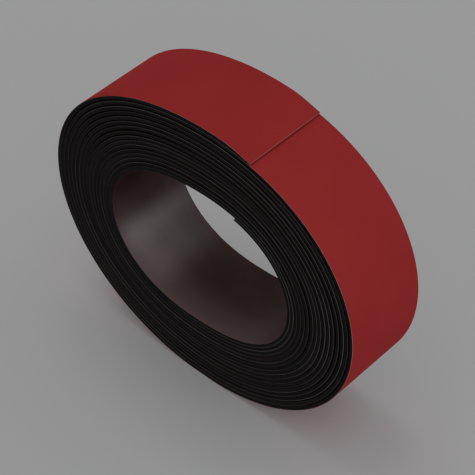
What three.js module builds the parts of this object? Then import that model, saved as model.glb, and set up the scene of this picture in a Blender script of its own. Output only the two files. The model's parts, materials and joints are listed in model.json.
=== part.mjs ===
// A coil of flexible magnetic strip faced with red vinyl film, wound without a core.
//
// One strip, three layers: a magnetic base, a thin adhesive and the film, red side out. It is
// wound clockwise from its inner end to its outer end, as seen from the front (looking along +Y),
// and stands on its rim, where its own weight has pressed it slightly oval. The outer end can be
// peeled off the coil and the inner end can be curled into the bore, so both ends are made as
// short links that meet at the lines where the strip bends.
//
// Millimetres and degrees. +Z is up, the coil's axis lies along Y, and the origin is on the
// standing surface under the middle of the coil. Angles round the coil run clockwise from its top.

import * as THREE from 'three';

// Driving dimensions of the strip
const STRIP_WIDTH = 20;
const MAGNET_THICKNESS = 0.7;
const ADHESIVE_THICKNESS = 0.05;
const FILM_THICKNESS = 0.1;

// Driving dimensions of the coil
const BORE_RADIUS = 20.5; // to the inner face of the strip, at its inner end
const LAPS = 16;
const INNER_END_ANGLE = 30;
const OUTER_END_ANGLE = 22.2;
const BORE_LAP_GAP = 0.08; // winding gap between laps, at the bore
const RIM_LAP_GAP = 0.33; // and at the rim, where the coil is wound more loosely
const OUTER_END_GAP = 0.05; // and under the outer end, which its magnetism holds down

// How the coil has settled under its weight
const BORE_SAG = 2.95; // how far the top and bottom come in, and the two sides go out
const RIM_SAG = 2.72;
const SAG_LEAN = -1.7; // angle of the oval's short axis
const RIM_EGG = 0.29; // the rim is a little fuller at three places round it
const EGG_ANGLE = 46.9; // one of the three

// The two ends that bend
const OUTER_LINKS = 6;
const OUTER_LINK_ARC = 15;
const INNER_LINKS = 4;
const INNER_LINK_ARC = 15;

// Fineness of the winding
const FACETS_PER_LAP = 30;

const FULL_TURN = 360;
const STRIP_THICKNESS = MAGNET_THICKNESS + ADHESIVE_THICKNESS + FILM_THICKNESS;
const FACET_ARC = FULL_TURN / FACETS_PER_LAP;
const END_TURNS = LAPS + (OUTER_END_ANGLE - INNER_END_ANGLE) / FULL_TURN;
const OUTER_ROOT_TURNS = END_TURNS - OUTER_LINKS * OUTER_LINK_ARC / FULL_TURN;
const INNER_ROOT_TURNS = INNER_LINKS * INNER_LINK_ARC / FULL_TURN;

// Each layer's depth range, measured outwards from the inner face of the strip
const LAYERS = {
  magnet: {
    from: 0,
    to: MAGNET_THICKNESS,
    material: { color: 0x1c1a1a, roughness: 0.55, metalness: 0.1 },
  },
  adhesive: {
    from: MAGNET_THICKNESS,
    to: MAGNET_THICKNESS + ADHESIVE_THICKNESS,
    material: { color: 0x57504f, roughness: 0.7, metalness: 0 },
  },
  film: {
    from: MAGNET_THICKNESS + ADHESIVE_THICKNESS,
    to: STRIP_THICKNESS,
    material: { color: 0x812526, roughness: 0.6, metalness: 0 },
  },
};

const cosine = degrees => Math.cos(THREE.MathUtils.degToRad(degrees));
const sine = degrees => Math.sin(THREE.MathUtils.degToRad(degrees));

/** The angle round the coil after so many turns from the inner end. */
const angleAt = turns => INNER_END_ANGLE + turns * FULL_TURN;

/**
 * Radius of the strip's inner face before the coil settles. The winding gap grows lap by lap, and
 * closes again under the outer end.
 */
function woundRadius(turns) {
  const gapGrowth = (RIM_LAP_GAP - BORE_LAP_GAP) / END_TURNS;
  const evenly = turns * (STRIP_THICKNESS + BORE_LAP_GAP) + gapGrowth * turns * turns / 2;
  const heldDown = THREE.MathUtils.smoothstep(turns, OUTER_ROOT_TURNS, END_TURNS);
  return BORE_RADIUS + evenly - heldDown * (RIM_LAP_GAP - OUTER_END_GAP);
}

/** A point of the settled spiral, as (x, z) about the coil's axis. */
function spiralPoint(turns, depth) {
  const angle = angleAt(turns);
  const share = turns / END_TURNS;
  const sag = THREE.MathUtils.lerp(BORE_SAG, RIM_SAG, share) * cosine(2 * (angle - SAG_LEAN));
  const egg = share * RIM_EGG * cosine(3 * (angle - EGG_ANGLE));
  const radius = woundRadius(turns) + depth - sag + egg;
  return new THREE.Vector2(radius * sine(angle), radius * cosine(angle));
}

/** Turns at the facet corner before the given turns; a facet's middle is at the very bottom. */
function cornerBefore(turns) {
  const firstCorner = (FULL_TURN + FACET_ARC) / 2;
  const count = Math.floor((angleAt(turns) - firstCorner) / FACET_ARC + 1e-6);
  return (firstCorner + count * FACET_ARC - INNER_END_ANGLE) / FULL_TURN;
}

// The facet that the coil stands on, and the height of its higher corner
const STAND_TURNS = cornerBefore(END_TURNS - (FULL_TURN / 2 + OUTER_END_ANGLE) / FULL_TURN);
const STAND_HEIGHT = Math.max(
  spiralPoint(STAND_TURNS, STRIP_THICKNESS).y,
  spiralPoint(STAND_TURNS + 1 / FACETS_PER_LAP, STRIP_THICKNESS).y,
);

/** A corner of the winding. The facet under the coil is pressed level by what it stands on. */
function cornerPoint(turns, depth) {
  const point = spiralPoint(turns, depth);
  if (turns > END_TURNS - 1) {
    point.y = Math.max(point.y, STAND_HEIGHT + STRIP_THICKNESS - depth);
  }
  return point;
}

/** A point on the flat facets of the winding, at any turns. */
function facetPoint(turns, depth) {
  const corner = cornerBefore(turns);
  const nextCorner = corner + 1 / FACETS_PER_LAP;
  const share = (turns - corner) * FACETS_PER_LAP;
  return cornerPoint(corner, depth).lerp(cornerPoint(nextCorner, depth), share);
}

/** The line of one face of a layer, from corner to corner, between two turns. */
function faceLine(fromTurns, toTurns, depth) {
  const line = [facetPoint(fromTurns, depth)];
  let corner = cornerBefore(fromTurns) + 1 / FACETS_PER_LAP;
  while (corner < toTurns - 1e-6) {
    line.push(cornerPoint(corner, depth));
    corner += 1 / FACETS_PER_LAP;
  }
  line.push(facetPoint(toTurns, depth));
  return line;
}

/** One layer of the strip between two turns, the full width of the strip. */
function layerMesh(name, layer, fromTurns, toTurns) {
  const outline = new THREE.Shape([
    ...faceLine(fromTurns, toTurns, layer.to),
    ...faceLine(fromTurns, toTurns, layer.from).reverse(),
  ]);
  const geometry = new THREE.ExtrudeGeometry(outline, { depth: STRIP_WIDTH, bevelEnabled: false });
  geometry.rotateX(Math.PI / 2);
  geometry.translate(0, STRIP_WIDTH / 2, 0);
  const mesh = new THREE.Mesh(geometry, new THREE.MeshStandardMaterial(layer.material));
  mesh.name = name;
  return mesh;
}

/** The three layers between two turns, as a group. */
function stripSection(nameOf, fromTurns, toTurns) {
  const section = new THREE.Group();
  for (const [layerName, layer] of Object.entries(LAYERS)) {
    section.add(layerMesh(nameOf(layerName), layer, fromTurns, toTurns));
  }
  return section;
}

/** The wound body of the coil, between the two ends that bend. */
function woundCoil() {
  return stripSection(layer => `wound_${layer}`, INNER_ROOT_TURNS, OUTER_ROOT_TURNS);
}

/** The outer end: links numbered from the coil to the free end, each hinged on the one before. */
function outerEnd() {
  const end = new THREE.Group();
  for (let link = 1; link <= OUTER_LINKS; link += 1) {
    const from = OUTER_ROOT_TURNS + (link - 1) * OUTER_LINK_ARC / FULL_TURN;
    const to = OUTER_ROOT_TURNS + link * OUTER_LINK_ARC / FULL_TURN;
    end.add(stripSection(layer => `outer_end_${link}_${layer}`, from, to));
  }
  return end;
}

/** The inner end: links numbered from the wall of the bore to the free end. */
function innerEnd() {
  const end = new THREE.Group();
  for (let link = 1; link <= INNER_LINKS; link += 1) {
    const from = INNER_ROOT_TURNS - link * INNER_LINK_ARC / FULL_TURN;
    const to = INNER_ROOT_TURNS - (link - 1) * INNER_LINK_ARC / FULL_TURN;
    end.add(stripSection(layer => `inner_end_${link}_${layer}`, from, to));
  }
  return end;
}

/** The whole coil, moved so that it stands on z = 0 with the middle of its box over the origin. */
function magneticStripCoil() {
  const coil = new THREE.Group();
  coil.add(woundCoil(), outerEnd(), innerEnd());
  const box = new THREE.Box3().setFromObject(coil);
  const centre = box.getCenter(new THREE.Vector3());
  coil.position.set(-centre.x, 0, -box.min.z);
  return coil;
}

export default magneticStripCoil();
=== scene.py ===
import json
import math

import bpy
import numpy as np
from mathutils import Matrix, Vector

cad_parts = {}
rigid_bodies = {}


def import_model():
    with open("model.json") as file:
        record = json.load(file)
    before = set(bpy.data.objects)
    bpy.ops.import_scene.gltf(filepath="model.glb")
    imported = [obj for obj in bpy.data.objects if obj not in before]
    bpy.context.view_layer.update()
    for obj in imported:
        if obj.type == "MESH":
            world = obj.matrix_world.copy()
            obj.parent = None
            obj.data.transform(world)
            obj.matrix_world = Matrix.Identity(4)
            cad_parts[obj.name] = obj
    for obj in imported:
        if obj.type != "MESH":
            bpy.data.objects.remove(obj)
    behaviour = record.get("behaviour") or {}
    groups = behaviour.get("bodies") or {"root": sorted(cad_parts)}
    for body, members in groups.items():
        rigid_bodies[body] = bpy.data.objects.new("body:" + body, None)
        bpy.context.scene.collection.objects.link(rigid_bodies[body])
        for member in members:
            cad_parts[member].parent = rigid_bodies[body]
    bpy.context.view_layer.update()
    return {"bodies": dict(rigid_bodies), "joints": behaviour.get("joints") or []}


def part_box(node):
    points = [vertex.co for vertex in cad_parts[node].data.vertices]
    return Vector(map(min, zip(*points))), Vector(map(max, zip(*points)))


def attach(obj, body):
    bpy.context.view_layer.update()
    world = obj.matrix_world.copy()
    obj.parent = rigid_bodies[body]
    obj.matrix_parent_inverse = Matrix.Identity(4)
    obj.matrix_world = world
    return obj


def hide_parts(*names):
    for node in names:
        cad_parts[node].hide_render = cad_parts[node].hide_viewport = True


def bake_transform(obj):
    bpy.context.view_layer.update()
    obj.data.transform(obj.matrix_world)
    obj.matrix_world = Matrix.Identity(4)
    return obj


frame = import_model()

# A coil of flexible magnetic strip faced with red vinyl film, wound without a core and standing
# on its rim. Each layer of the strip is one surface carried along the spiral. The two free ends
# are cut at the middle of every hinged link, so that each piece spans one hinge.
# Metres and degrees; angles round the coil run clockwise from its top, seen from the front.

MM = 0.001
FULL_TURN = 360.0

# ---------------------------------------------------------------- the strip and its winding

STRIP_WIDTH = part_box("wound_magnet")[1].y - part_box("wound_magnet")[0].y
MAGNET_THICKNESS = 0.70 * MM
ADHESIVE_THICKNESS = 0.05 * MM
FILM_THICKNESS = 0.10 * MM
STRIP_THICKNESS = MAGNET_THICKNESS + ADHESIVE_THICKNESS + FILM_THICKNESS

# The spiral runs from the inner end in the bore to the outer end on the rim, and the gap between
# laps grows on the way.
LAPS = 16
BORE_RADIUS = 20.5 * MM
INNER_END_ANGLE = 30.0
OUTER_END_ANGLE = 22.2
BORE_LAP_GAP = 0.08 * MM
RIM_LAP_GAP = 0.33 * MM
OUTER_END_GAP = 0.05 * MM

# The coil has settled: its top and bottom have come in by the sag and its two sides have gone
# out by it, and the rim is a little fuller at three places round it.
BORE_SAG = 2.95 * MM
RIM_SAG = 2.72 * MM
SAG_LEAN = -1.7
RIM_EGG = 0.29 * MM
EGG_ANGLE = 46.9

# Each end of the strip bends as a row of hinged links, numbered towards its free end.
LINK_ARC = 15.0
OUTER_LINKS = sum(name.startswith("outer_end_") for name in frame["bodies"])
INNER_LINKS = sum(name.startswith("inner_end_") for name in frame["bodies"])

END_TURNS = LAPS + (OUTER_END_ANGLE - INNER_END_ANGLE) / FULL_TURN
LINK_TURNS = LINK_ARC / FULL_TURN
OUTER_ROOT_TURNS = END_TURNS - OUTER_LINKS * LINK_TURNS
INNER_ROOT_TURNS = INNER_LINKS * LINK_TURNS

# The laps don't lie quite flush: the bore stands a little proud of the rim towards the front,
# and each lap wanders a little from its neighbours. The wander is two waves, each given as
# radians to a turn, the angle it starts at, and its share. It fades out near the rim, over these
# turns before the outer end.
BORE_STANDS_PROUD = 0.52 * MM
LAP_WANDER = 0.12 * MM
WANDER_WAVES = ((5.3, 0.8, 0.6), (1.9, 2.1, 0.4))
WANDER_FADE = (2.5, 0.5)

# The outer end is cut at a slant, so that the film reaches a little further than the magnet, and
# the cut has pinched the last few millimetres to less than half as thick. The film is pale along
# the very edge of the cut.
END_CUT_SLANT = 17.0
END_PINCH = 0.6
END_PINCH_TURNS = 0.03
PALE_END_TURNS = 0.0007

# The share of a hinged piece in from each end, where a point on its outer face is found
BEND_MARGIN = 0.025

# How finely the surfaces are made
STATIONS_PER_LAP = 200
STATIONS_PER_BEND = 20
CORNER_STEPS = 4
ACROSS_STEPS = 6

# How close to the strip's sides a point counts as on the cut edge, how many turns one kind of
# lap takes to give way to the next, and how near two turns are that count as the same
CUT_EDGE_DEPTH = 0.02 * MM
LAP_CHANGE = 0.004
SAME_TURNS = 1e-9


def smooth_step(values, low, high):
    """0 below low, 1 above high, and 3t^2 - 2t^3 in between."""
    share = np.clip((values - low) / (high - low), 0.0, 1.0)
    return share * share * (3.0 - 2.0 * share)


def wound_radius(turns):
    """Radius of the strip's inner face: a spiral whose gap grows evenly with the turns, less the
    gap that closes under the outer end."""
    gap_growth = (RIM_LAP_GAP - BORE_LAP_GAP) / END_TURNS
    evenly = turns * (STRIP_THICKNESS + BORE_LAP_GAP) + gap_growth * turns * turns / 2.0
    held_down = smooth_step(turns, OUTER_ROOT_TURNS, END_TURNS)
    return BORE_RADIUS + evenly - held_down * (RIM_LAP_GAP - OUTER_END_GAP)


def spiral(turns, depth):
    """(x, z) about the coil's axis: the wound radius plus the depth, less a sag that goes with
    the cosine of twice the angle, plus a small egg shape that goes with three times the angle."""
    angle = np.radians(INNER_END_ANGLE + turns * FULL_TURN)
    share = turns / END_TURNS
    sag = (BORE_SAG + (RIM_SAG - BORE_SAG) * share) * np.cos(2.0 * (angle - math.radians(SAG_LEAN)))
    egg = share * RIM_EGG * np.cos(3.0 * (angle - math.radians(EGG_ANGLE)))
    radius = wound_radius(turns) + depth - sag + egg
    return radius * np.sin(angle), radius * np.cos(angle)


def joint_position(name):
    """The place of a hinge of the frame."""
    return Vector(next(joint["pos_m"] for joint in frame["joints"] if joint["name"] == name))


def coil_axis():
    """The coil's axis at the middle of its width: the first inner hinge less its place on the
    spiral."""
    x, z = spiral(np.array(INNER_ROOT_TURNS), 0.0)
    hinge = joint_position("inner_end_curl")
    return Vector((hinge.x - float(x), hinge.y, hinge.z - float(z)))


AXIS = coil_axis()


def lap_drift(turns):
    """How far the strip lies to the back: proud at the bore, falling off evenly to the rim, plus
    two sine waves whose lengths don't match a lap and which fade out near the rim."""
    share = turns / END_TURNS
    wander = sum(part * np.sin(rate * turns + start) for rate, start, part in WANDER_WAVES)
    fade_from, fade_to = WANDER_FADE
    faded = smooth_step(turns, END_TURNS - fade_from, END_TURNS - fade_to)
    return -BORE_STANDS_PROUD * (1.0 - share) + LAP_WANDER * wander * (1.0 - faded)


def strip_points(turns, depth, across):
    """Points of the strip: the spiral in x and z, the width and the drift along y, and z held
    level where the lowest lap rests on the floor. Depths shrink by the pinch at the outer end."""
    pinch = END_PINCH * smooth_step(turns, END_TURNS - END_PINCH_TURNS, END_TURNS)
    x, z = spiral(turns, depth * (1.0 - pinch))
    on_lowest_lap = turns > END_TURNS - 1.0
    resting = STRIP_THICKNESS - depth
    height = np.where(on_lowest_lap, np.maximum(z + AXIS.z, resting), z + AXIS.z)
    return np.stack([x + AXIS.x, across + lap_drift(turns), height], axis=-1)


# ---------------------------------------------------------------- surfaces

def rounded_profile(depth_from, depth_to, width, corner):
    """A rectangle with round corners, as (depth, across) points in order: each corner is a quarter
    circle, and each long side is cut into equal steps."""
    half = width / 2.0
    quarter = np.linspace(0.0, math.pi / 2.0, CORNER_STEPS + 1)
    centres = [
        (depth_to - corner, half - corner, 0.0),
        (depth_from + corner, half - corner, 1.0),
        (depth_from + corner, -half + corner, 2.0),
        (depth_to - corner, -half + corner, 3.0),
    ]
    sides = [0, ACROSS_STEPS, 0, ACROSS_STEPS]
    points = []
    for (depth, across, quarters), steps in zip(centres, sides):
        swing = quarter + quarters * math.pi / 2.0
        arc = np.stack([depth + corner * np.cos(swing), across + corner * np.sin(swing)], axis=-1)
        points.append(arc)
        if steps:
            ahead = arc[-1] * [1.0, -1.0]
            shares = np.linspace(0.0, 1.0, steps + 1)[1:-1, None]
            points.append(arc[-1] * (1.0 - shares) + ahead * shares)
    return np.concatenate(points)


class Layer:
    """One layer of the strip: its name, its depths, how round its corners are, how far it stops
    short of the strip's cut sides, and the slot of its finish."""

    def __init__(self, name, depths, corner, inset, slot):
        self.name = name
        self.profile = rounded_profile(*depths, STRIP_WIDTH - 2.0 * inset, corner)
        self.slot = slot


FILM_DEPTH = MAGNET_THICKNESS + ADHESIVE_THICKNESS
LAYERS = [
    Layer(
        "magnet",
        depths=(0.0, MAGNET_THICKNESS),
        corner=0.12 * MM,
        inset=0.0,
        slot="magnetic_strip",
    ),
    Layer(
        "adhesive",
        depths=(MAGNET_THICKNESS, FILM_DEPTH),
        corner=0.02 * MM,
        inset=0.03 * MM,
        slot="adhesive",
    ),
    Layer(
        "film",
        depths=(FILM_DEPTH, STRIP_THICKNESS),
        corner=0.04 * MM,
        inset=0.0,
        slot="red_film",
    ),
]


def carried_surface(name, profile, turns):
    """A closed surface: the profile carried along the strip, with a flat face over each end. The
    turns are an array of stations by profile corners. Its map gives the way along the strip and
    the way round the profile in metres. Its attributes are cut_edge, 1 on the strip's two cut
    sides; across, the place over the width in metres; bore_wall, 1 where the strip faces the
    bore; buried, 1 where further laps lie over it; and free_end, 1 at the very end of the outer
    lap."""
    stations, corners = turns.shape
    depth, across = profile[:, 0], profile[:, 1]
    grid = strip_points(turns, depth[None, :], across[None, :])
    row_start = np.arange(stations - 1)[:, None] * corners
    corner = np.arange(corners)[None, :]
    first = row_start + corner
    second = row_start + (corner + 1) % corners
    sides = np.stack([first, second, second + corners, first + corners], axis=-1).reshape(-1, 4)
    start_cap = np.arange(corners)[::-1]
    end_cap = np.arange(corners) + (stations - 1) * corners

    mesh = bpy.data.meshes.new(name)
    mesh.from_pydata(
        grid.reshape(-1, 3).tolist(),
        [],
        sides.tolist() + [start_cap.tolist(), end_cap.tolist()],
    )
    mesh.polygons.foreach_set("use_smooth", np.ones(len(sides) + 2, dtype=bool))
    edge_ends = np.empty(len(mesh.edges) * 2, dtype=np.int32)
    mesh.edges.foreach_get("vertices", edge_ends)
    edge_station = edge_ends.reshape(-1, 2) // corners
    round_a_cap = (edge_station == 0).all(axis=1) | (edge_station == stations - 1).all(axis=1)
    mesh.edges.foreach_set("use_edge_sharp", round_a_cap)

    along = np.concatenate([[0.0], np.cumsum(np.linalg.norm(np.diff(grid[:, 0], axis=0), axis=1))])
    steps = np.linalg.norm(np.diff(np.vstack([profile, profile[:1]]), axis=0), axis=1)
    around = np.concatenate([[0.0], np.cumsum(steps)])
    strip_start = strip_length(turns[0, 0])
    side_u = np.stack([along[:-1], along[:-1], along[1:], along[1:]], axis=-1)[:, None, :]
    side_v = np.stack([around[:-1], around[1:], around[1:], around[:-1]], axis=-1)[None, :, :]
    side_map = np.stack(np.broadcast_arrays(strip_start + side_u, side_v), axis=-1).reshape(-1, 2)
    cap_maps = []
    for cap, place in ((start_cap, 0.0), (end_cap, along[-1])):
        cap_maps.append(
            np.stack([strip_start + place + depth[cap % corners], across[cap % corners]], axis=-1)
        )
    strip_map = mesh.uv_layers.new(name="strip")
    whole_map = np.concatenate([side_map, *cap_maps])
    strip_map.data.foreach_set("uv", whole_map.astype(np.float32).ravel())

    on_edge = np.abs(across) > np.abs(across).max() - CUT_EDGE_DEPTH
    last_buried = END_TURNS - 1.0
    pale_from = END_TURNS - PALE_END_TURNS
    amounts = {
        "cut_edge": np.broadcast_to(on_edge, turns.shape),
        "across": np.broadcast_to(across, turns.shape),
        "bore_wall": 1.0 - smooth_step(turns, 1.0, 1.0 + LAP_CHANGE),
        "buried": 1.0 - smooth_step(turns, last_buried - LAP_CHANGE, last_buried),
        "free_end": smooth_step(turns, pale_from, pale_from + PALE_END_TURNS / 2.0),
    }
    for amount_name, values in amounts.items():
        amount = mesh.attributes.new(amount_name, "FLOAT", "POINT")
        amount.data.foreach_set("value", values.astype(np.float32).ravel())

    piece = bpy.data.objects.new(name, mesh)
    bpy.context.scene.collection.objects.link(piece)
    return piece


def strip_length(turns):
    """Length of strip from the inner end, near enough to set the pattern: the mean radius times
    the angle."""
    return float(2.0 * math.pi * turns * (BORE_RADIUS + wound_radius(np.array(turns))) / 2.0)


# ---------------------------------------------------------------- finishes

class Amount:
    """A node socket that carries one number over a surface. Arithmetic on it adds Math nodes."""

    def __init__(self, finish, socket):
        self.finish = finish
        self.socket = socket

    def __add__(self, other):
        return self.finish.maths("ADD", self, other)

    def __sub__(self, other):
        return self.finish.maths("SUBTRACT", self, other)

    def __rsub__(self, other):
        return self.finish.maths("SUBTRACT", other, self)

    def __mul__(self, other):
        return self.finish.maths("MULTIPLY", self, other)

    __radd__ = __add__
    __rmul__ = __mul__


class Finish:
    """A material being made: a Principled shader, and the nodes that vary it over the strip."""

    def __init__(self, name, constants):
        self.material = bpy.data.materials.new(name)
        self.material.use_nodes = True
        self.tree = self.material.node_tree
        self.tree.nodes.clear()
        self.shader = self.node("ShaderNodeBsdfPrincipled", inputs=constants)
        output = self.node("ShaderNodeOutputMaterial")
        self.tree.links.new(self.shader.outputs["BSDF"], output.inputs["Surface"])
        self.map = self.node("ShaderNodeUVMap", {"uv_map": "strip"}).outputs["UV"]

    def node(self, kind, settings=None, inputs=None):
        """A node of that type, with its settings made first and then its sockets' values and
        links."""
        made = self.tree.nodes.new(kind)
        for key, value in (settings or {}).items():
            setattr(made, key, value)
        for key, value in (inputs or {}).items():
            self.feed(made.inputs[key], value)
        return made

    def feed(self, socket, value):
        """Links a socket to another, or sets its value."""
        if isinstance(value, Amount):
            value = value.socket
        if isinstance(value, bpy.types.NodeSocket):
            self.tree.links.new(value, socket)
        else:
            socket.default_value = value

    def maths(self, operation, first, second=0.0):
        """The result of one Math node."""
        made = self.node("ShaderNodeMath", {"operation": operation}, {0: first, 1: second})
        return Amount(self, made.outputs[0])

    def attribute(self, name):
        """A number stored on the piece's own mesh."""
        made = self.node("ShaderNodeAttribute", {"attribute_name": name})
        return Amount(self, made.outputs["Fac"])

    def place(self):
        """The way to the right and the way up from the coil's axis, in metres."""
        coordinates = self.node("ShaderNodeTexCoord").outputs["Object"]
        split = self.node("ShaderNodeSeparateXYZ", None, {"Vector": coordinates})
        return Amount(self, split.outputs["X"]) - AXIS.x, Amount(self, split.outputs["Z"]) - AXIS.z

    def clamped(self, amount, low, high):
        """The amount carried from low..high to 0..1, and held there."""
        made = self.node(
            "ShaderNodeMapRange",
            {"clamp": True},
            {"Value": amount, "From Min": low, "From Max": high},
        )
        return Amount(self, made.outputs["Result"])

    def noise(self, grain, stretch=1.0, detail=3.0, roughness=0.5):
        """Noise whose spots are so many metres long, and longer by the stretch along the strip."""
        spread = self.node(
            "ShaderNodeVectorMath",
            {"operation": "MULTIPLY"},
            {0: self.map, 1: (1.0 / (grain * stretch), 1.0 / grain, 1.0)},
        )
        made = self.node(
            "ShaderNodeTexNoise",
            {"noise_dimensions": "2D"},
            {
                "Vector": spread.outputs["Vector"],
                "Scale": 1.0,
                "Detail": detail,
                "Roughness": roughness,
            },
        )
        return Amount(self, made.outputs["Fac"])

    def mixed(self, share, first, second):
        """The first colour where the share is 0 and the second where it is 1."""
        made = self.node(
            "ShaderNodeMix", {"data_type": "RGBA"}, {0: share, 6: first, 7: second}
        )
        return made.outputs[2]

    def bump(self, height, distance):
        """Tiny relief: where the height is 1 it stands out by the distance in metres."""
        made = self.node(
            "ShaderNodeBump", None, {"Strength": 1.0, "Distance": distance, "Height": height}
        )
        self.feed(self.shader.inputs["Normal"], made.outputs["Normal"])


def srgb(red, green, blue):
    """A colour given as 0..255 screen values, in the linear values that shaders use."""
    screen = np.array([red, green, blue]) / 255.0
    linear = np.where(screen <= 0.04045, screen / 12.92, ((screen + 0.055) / 1.055) ** 2.4)
    return (*linear.tolist(), 1.0)


# Colours
MAGNET_FACE_DEEP = srgb(48, 21, 22)
MAGNET_FACE_LIGHT = srgb(64, 34, 35)
MAGNET_CUT_DEEP = srgb(23, 23, 24)
MAGNET_CUT_LIGHT = srgb(34, 34, 35)
# Painted light: the paler front margin and low wall of the bore
BORE_PAINTED_LIGHT = srgb(110, 90, 92)
# Painted highlight on the magnet's corners at the lower left
CORNER_PAINTED_HIGHLIGHT = srgb(92, 82, 83)
PALE_SPECK = srgb(98, 94, 92)
ADHESIVE_DEEP = srgb(28, 27, 28)
ADHESIVE_DUSTY = srgb(40, 38, 39)
FILM_DEEP = srgb(159, 52, 57)
FILM_LIGHT = srgb(163, 54, 59)
# Painted shade: near-black in the gaps between laps
GAP_PAINTED_SHADE = srgb(18, 17, 17)
OPEN_EDGE_DUSTY = srgb(84, 62, 63)
# Painted highlights on the film's cut edges, on the open lap and on the buried laps
OPEN_EDGE_HIGHLIGHT = srgb(186, 150, 150)
BURIED_EDGE_DUSTY = srgb(44, 42, 43)
BURIED_EDGE_HIGHLIGHT = srgb(140, 138, 139)
PALE_CUT_END = srgb(176, 134, 131)
FLOOR_PALE = srgb(198, 198, 200)

# The part of each noise's values that becomes the range from none to full
NOISE_MIDDLE = (0.3, 0.7)
NOISE_NARROW = (0.35, 0.65)
SPECK_PEAKS = (0.74, 0.78)
CUT_TONES = (0.45, 0.75)
LAP_TONES = (0.36, 0.62)

# Where the painted highlights and the painted light lie: metres over the width from its middle, or
# metres right of and above the coil's axis. The film's cut edges carry a painted highlight towards
# the upper right, which is so much to the right and so much up, and the magnet's corners carry a
# painted highlight towards the lower left. The bore carries painted light along its front margin
# and low down.
HALF_WIDTH = STRIP_WIDTH / 2.0
HIGHLIGHT_RIGHT = 0.8
HIGHLIGHT_UP = 0.55
EDGE_HIGHLIGHT_RANGE = (-8.0 * MM, 42.0 * MM)
CORNER_HIGHLIGHT_RANGE = (-10.0 * MM, 20.0 * MM)
BORE_LIGHT_ACROSS = (-8.0 * MM, 2.0 * MM)
BORE_LIGHT_UP = (-16.0 * MM, 4.0 * MM)
CORNER_HIGHLIGHT_ACROSS = (HALF_WIDTH - 0.8 * MM, HALF_WIDTH - 0.3 * MM)
MARGIN_ACROSS = (HALF_WIDTH - 1.4 * MM, HALF_WIDTH - 0.5 * MM)

# How strongly each shows where it is strongest
BORE_LIGHT_SHARE = 0.85
CORNER_HIGHLIGHT_SHARE = 0.55
SPECK_SHARE = 0.25
GAP_SHADE_SHARE = 0.97
PALE_END_SHARE = 0.4
BACK_DULLING = 0.6


def magnet_finish():
    """Ferrite-filled rubber: brown-black and calendered to a low sheen on its faces, blacker and
    drawn lengthwise by the slitting knife on its cut edges, with pale specks here and there.
    Handling has dulled the faces towards the back. The corners are lighter grey on the left and
    below, a painted highlight, and the bore is paler along its front margin, most of all low down,
    which is painted light where light reaches into it."""
    finish = Finish(
        "magnetic_strip",
        {"Specular IOR Level": 0.06, "Coat Roughness": 0.4, "Coat IOR": 1.55},
    )
    edge = finish.attribute("cut_edge")
    bore_wall = finish.attribute("bore_wall")
    across = finish.attribute("across")
    right, up = finish.place()
    cloud = finish.noise(9.0 * MM, stretch=2.0)
    grain = finish.noise(0.16 * MM, detail=2.0)
    drawn = finish.noise(0.12 * MM, stretch=14.0)
    long_tone = finish.noise(25.0 * MM, stretch=3.0, detail=1.0)
    speck = finish.clamped(finish.noise(0.35 * MM, detail=1.0), *SPECK_PEAKS)

    # Painted light: the bore is paler along its front margin and low down, where light reaches into
    # it
    front = 1.0 - finish.clamped(across + cloud * 5.0 * MM, *BORE_LIGHT_ACROSS)
    lit_low_down = (1.0 - finish.clamped(up, *BORE_LIGHT_UP)) * bore_wall
    # Painted highlight: the magnet's corners lighter towards the lower left, where the light
    # catches them
    corner = finish.clamped(finish.maths("ABSOLUTE", across), *CORNER_HIGHLIGHT_ACROSS)
    lower_left = finish.clamped(right * -HIGHLIGHT_RIGHT - up * HIGHLIGHT_UP, *CORNER_HIGHLIGHT_RANGE)
    corner_highlight = corner * lower_left * (1.0 - bore_wall)

    cloudy = finish.clamped(cloud, *NOISE_MIDDLE)
    calendered = finish.mixed(cloudy, MAGNET_FACE_DEEP, MAGNET_FACE_LIGHT)
    front_lit = finish.mixed(front * lit_low_down * BORE_LIGHT_SHARE, calendered, BORE_PAINTED_LIGHT)
    face = finish.mixed(corner_highlight * CORNER_HIGHLIGHT_SHARE, front_lit, CORNER_PAINTED_HIGHLIGHT)
    cut_tone = finish.clamped(drawn * 0.6 + long_tone * 0.6, *CUT_TONES)
    cut = finish.mixed(cut_tone, MAGNET_CUT_DEEP, MAGNET_CUT_LIGHT)
    clean = finish.mixed(edge, face, cut)
    colour = finish.mixed(speck * SPECK_SHARE, clean, PALE_SPECK)
    finish.feed(finish.shader.inputs["Base Color"], colour)

    rough_face = 0.5 + grain * 0.08 + cloud * 0.06
    rough_cut = 0.5 + drawn * 0.2
    rough = rough_face * (1.0 - edge) + rough_cut * edge
    finish.feed(finish.shader.inputs["Roughness"], rough)
    back = finish.clamped(across, -HALF_WIDTH, HALF_WIDTH)
    sheen = (0.36 + cloud * 0.2) * (1.0 - back * BACK_DULLING)
    finish.feed(finish.shader.inputs["Coat Weight"], (1.0 - edge) * sheen)
    finish.bump(grain * 0.6 * (1.0 - edge) + drawn * edge, 0.02 * MM)
    return finish.material


def adhesive_finish():
    """A line of clear adhesive, darkened by the dust that it holds."""
    finish = Finish("adhesive", {"Specular IOR Level": 0.1})
    dust = finish.noise(0.3 * MM, stretch=3.0)
    dust_and_shade = finish.clamped(dust, *NOISE_NARROW)
    colour = finish.mixed(dust_and_shade, ADHESIVE_DEEP, ADHESIVE_DUSTY)
    finish.feed(finish.shader.inputs["Base Color"], colour)
    finish.feed(finish.shader.inputs["Roughness"], 0.5 + dust * 0.2)
    return finish.material


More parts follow.
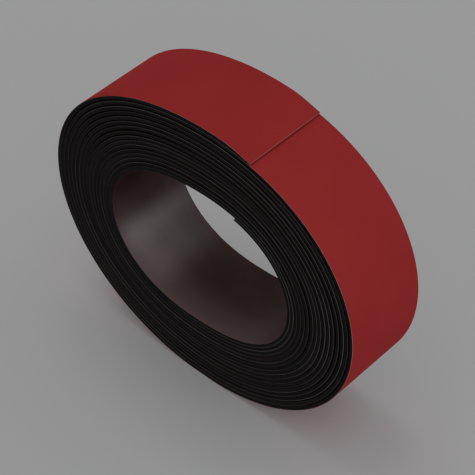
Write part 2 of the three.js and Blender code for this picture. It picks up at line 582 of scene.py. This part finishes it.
def film_finish():
    """Matt red vinyl: an even deep red with the faintest clouding and a fine pressed grain. Both
    margins of the buried laps are near-black, a painted shade in the gaps between laps. Black dust
    from slitting lies on the cut edges, and a painted highlight makes those edges pale on the right
    and at the top right. The cut end of the outer lap is pale."""
    finish = Finish("red_film", {"Specular IOR Level": 0.01})
    edge = finish.attribute("cut_edge")
    buried = finish.attribute("buried")
    free_end = finish.attribute("free_end")
    right, up = finish.place()
    cloud = finish.noise(14.0 * MM, detail=2.0)
    grain = finish.noise(0.22 * MM, detail=4.0, roughness=0.6)
    knife = finish.noise(0.5 * MM, stretch=6.0)
    patches = finish.noise(6.0 * MM, stretch=2.5, detail=2.0)
    lap_tone = finish.noise(5.0 * MM, stretch=14.0, detail=1.0)

    cloudy = finish.clamped(cloud, *NOISE_MIDDLE)
    red = finish.mixed(cloudy, FILM_DEEP, FILM_LIGHT)
    # Painted shade: both margins of the buried laps near-black, in the gaps between laps
    off_middle = finish.maths("ABSOLUTE", finish.attribute("across"))
    margin = finish.clamped(off_middle, *MARGIN_ACROSS)
    dust_and_shade = finish.mixed(margin * buried * GAP_SHADE_SHARE, red, GAP_PAINTED_SHADE)

    # Painted highlight: the cut edges pale towards the upper right, varying from lap to lap
    upper_right = right * HIGHLIGHT_RIGHT + up * HIGHLIGHT_UP
    lit_upper_right = finish.clamped(upper_right + patches * 30.0 * MM, *EDGE_HIGHLIGHT_RANGE)
    by_lap = finish.clamped(lap_tone, *LAP_TONES)
    fresh = finish.clamped(knife, *NOISE_NARROW)
    edge_highlight = lit_upper_right * (0.3 + by_lap * 0.7) * (0.8 + fresh * 0.2)
    dusty_edge = finish.mixed(buried, OPEN_EDGE_DUSTY, BURIED_EDGE_DUSTY)
    highlight_edge = finish.mixed(buried, OPEN_EDGE_HIGHLIGHT, BURIED_EDGE_HIGHLIGHT)
    cut = finish.mixed(edge_highlight, dusty_edge, highlight_edge)

    sides_done = finish.mixed(edge, dust_and_shade, cut)
    colour = finish.mixed(free_end * PALE_END_SHARE, sides_done, PALE_CUT_END)
    finish.feed(finish.shader.inputs["Base Color"], colour)
    finish.feed(finish.shader.inputs["Roughness"], 0.65 + grain * 0.12)
    finish.bump(grain, 0.006 * MM)
    return finish.material


FINISHES = {
    "magnetic_strip": magnet_finish(),
    "adhesive": adhesive_finish(),
    "red_film": film_finish(),
}


# ---------------------------------------------------------------- the pieces of the coil

def strip_piece(name, layer, from_turns, to_turns, steps):
    """One layer between two turns, finished, with its place in its mesh. Where it reaches the
    outer end, it gets two more stations there and the end is slanted: each corner stops short by
    its distance from the outer face times the slant."""
    stations = np.linspace(from_turns, to_turns, steps + 1)
    shortfall = np.zeros(len(layer.profile))
    if to_turns > END_TURNS - SAME_TURNS:
        extra = END_TURNS - PALE_END_TURNS * np.array([1.0, 0.5])
        stations = np.sort(np.concatenate([stations, extra]))
        inwards = STRIP_THICKNESS - layer.profile[:, 0]
        one_lap = 2.0 * math.pi * float(wound_radius(np.array(END_TURNS)))
        shortfall = inwards * math.tan(math.radians(END_CUT_SLANT)) / one_lap
    reach = (stations - from_turns) / (to_turns - from_turns)
    turns = stations[:, None] - reach[:, None] * shortfall[None, :]
    piece = carried_surface(name, layer.profile, turns)
    piece.data.materials.append(FINISHES[layer.slot])
    return piece


def outer_face_point(turns):
    """A point at the middle of the strip's outer face."""
    return Vector(strip_points(np.array(turns), STRIP_THICKNESS, 0.0).tolist())


def wound_laps(layer):
    """The wound body of one layer, less half a link at each end, which goes to the first piece of
    the free end."""
    from_turns = INNER_ROOT_TURNS + LINK_TURNS / 2.0
    to_turns = OUTER_ROOT_TURNS - LINK_TURNS / 2.0
    steps = round((to_turns - from_turns) * STATIONS_PER_LAP)
    piece = strip_piece(f"wound_laps_{layer.name}", layer, from_turns, to_turns, steps)
    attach(piece, "wound_coil")
    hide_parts(f"wound_{layer.name}")


def free_end(layer, end, links, root_turns, direction):
    """The pieces of a free end. Each runs from the middle of one link to the middle of the next,
    across the hinge between them. The tip is the free half of the last link."""
    for link in range(1, links + 1):
        hinge_turns = root_turns + direction * (link - 1) * LINK_TURNS
        near = hinge_turns - direction * LINK_TURNS / 2.0
        far = hinge_turns + direction * LINK_TURNS / 2.0
        from_turns, to_turns = min(near, far), max(near, far)
        name = f"{end}_bend_{link}_{layer.name}"
        piece = strip_piece(name, layer, from_turns, to_turns, STATIONS_PER_BEND)
        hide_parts(f"{end}_end_{link}_{layer.name}")
        margin = BEND_MARGIN * (far - near)
        outer_face_point(near + margin)
        outer_face_point(far - margin)
        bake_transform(piece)
    tip_root = root_turns + direction * (links - 0.5) * LINK_TURNS
    tip_end = root_turns + direction * links * LINK_TURNS
    tip = strip_piece(
        f"{end}_tip_{layer.name}",
        layer,
        min(tip_root, tip_end),
        max(tip_root, tip_end),
        STATIONS_PER_BEND // 2,
    )
    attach(tip, f"{end}_end_{links}")


for strip_layer in LAYERS:
    wound_laps(strip_layer)
    free_end(strip_layer, "outer", OUTER_LINKS, OUTER_ROOT_TURNS, 1.0)
    free_end(strip_layer, "inner", INNER_LINKS, INNER_ROOT_TURNS, -1.0)


# ---------------------------------------------------------------- camera, floor and light

CAMERA_AZIMUTH = 42.29
CAMERA_ELEVATION = 44.09
CAMERA_DISTANCE = 377.2 * MM
CAMERA_LENS = 140.6956
CAMERA_SENSOR = 36.0
CAMERA_CLIP = (0.01, 10.0)
AIM_RIGHT = 0.8818 * MM
AIM_DOWN = 1.2029 * MM

FLOOR_REACH = 3.0
SURROUNDING_LIGHT = 0.48
PANEL_DISTANCE = 0.8


def make_camera():
    """A long lens from the front right and above. It aims a little to the right of the middle of
    the coil and below it, with no lens shift."""
    azimuth, elevation = math.radians(CAMERA_AZIMUTH), math.radians(CAMERA_ELEVATION)
    right = Vector((math.cos(azimuth), math.sin(azimuth), 0.0))
    back = Vector((
        math.sin(azimuth) * math.cos(elevation),
        -math.cos(azimuth) * math.cos(elevation),
        math.sin(elevation),
    ))
    up = back.cross(right)
    data = bpy.data.cameras.new("camera")
    data.sensor_width = CAMERA_SENSOR
    data.lens = CAMERA_LENS
    data.clip_start, data.clip_end = CAMERA_CLIP
    camera = bpy.data.objects.new("camera", data)
    camera.matrix_world = Matrix((
        (right.x, up.x, back.x, 0.0),
        (right.y, up.y, back.y, 0.0),
        (right.z, up.z, back.z, 0.0),
        (0.0, 0.0, 0.0, 1.0),
    ))
    camera.location = AXIS + back * CAMERA_DISTANCE + right * AIM_RIGHT - up * AIM_DOWN
    bpy.context.scene.collection.objects.link(camera)
    bpy.context.scene.camera = camera


def make_floor():
    """A plain pale floor."""
    mesh = bpy.data.meshes.new("floor")
    sides = [(-1.0, -1.0), (1.0, -1.0), (1.0, 1.0), (-1.0, 1.0)]
    corners = [(x * FLOOR_REACH, y * FLOOR_REACH, 0.0) for x, y in sides]
    mesh.from_pydata(corners, [], [(0, 1, 2, 3)])
    floor = bpy.data.objects.new("floor", mesh)
    material = bpy.data.materials.new("floor")
    material.use_nodes = True
    shader = material.node_tree.nodes["Principled BSDF"]
    shader.inputs["Base Color"].default_value = FLOOR_PALE
    shader.inputs["Roughness"].default_value = 0.9
    mesh.materials.append(material)
    bpy.context.scene.collection.objects.link(floor)


def make_panel(name, azimuth, elevation, size, radiance, sheen_only=False):
    """A soft light panel, so wide and so high, that faces the middle of the coil. Its azimuth
    runs from +X towards +Y, and its energy is its radiance times pi times its area. One for
    sheen only shows in reflections and lights nothing else."""
    around, above = math.radians(azimuth), math.radians(elevation)
    towards = Vector((
        math.cos(above) * math.cos(around),
        math.cos(above) * math.sin(around),
        math.sin(above),
    ))
    data = bpy.data.lights.new(name, "AREA")
    data.shape = "RECTANGLE"
    data.size, data.size_y = size
    data.energy = radiance * math.pi * size[0] * size[1]
    panel = bpy.data.objects.new(name, data)
    panel.visible_diffuse = not sheen_only
    panel.location = AXIS + towards * PANEL_DISTANCE
    panel.rotation_euler = towards.to_track_quat("Z", "Y").to_euler()
    bpy.context.scene.collection.objects.link(panel)


def make_light():
    """Even light from all round. Two panels behind to the right, a low one and a high one, show
    only as sheen in the bore. One in front to the right picks out the edges, one is overhead, and
    a low one to the right fills the shadow under the outer end."""
    world = bpy.data.worlds.new("studio")
    world.use_nodes = True
    background = world.node_tree.nodes["Background"]
    background.inputs["Color"].default_value = (1.0, 1.0, 1.0, 1.0)
    background.inputs["Strength"].default_value = SURROUNDING_LIGHT
    bpy.context.scene.world = world
    make_panel(
        "back_right_panel",
        azimuth=36.0,
        elevation=10.0,
        size=(0.42, 0.52),
        radiance=5.4,
        sheen_only=True,
    )
    make_panel(
        "back_high_panel",
        azimuth=50.0,
        elevation=49.0,
        size=(0.46, 0.52),
        radiance=3.5,
        sheen_only=True,
    )
    make_panel(
        "front_right_panel", azimuth=-42.0, elevation=40.0, size=(0.26, 0.26), radiance=1.0
    )
    make_panel("overhead_panel", azimuth=170.0, elevation=72.0, size=(0.40, 0.40), radiance=1.3)
    make_panel("right_panel", azimuth=-2.0, elevation=2.0, size=(0.50, 0.50), radiance=1.75)


make_camera()
make_floor()
make_light()

bpy.context.view_layer.update()
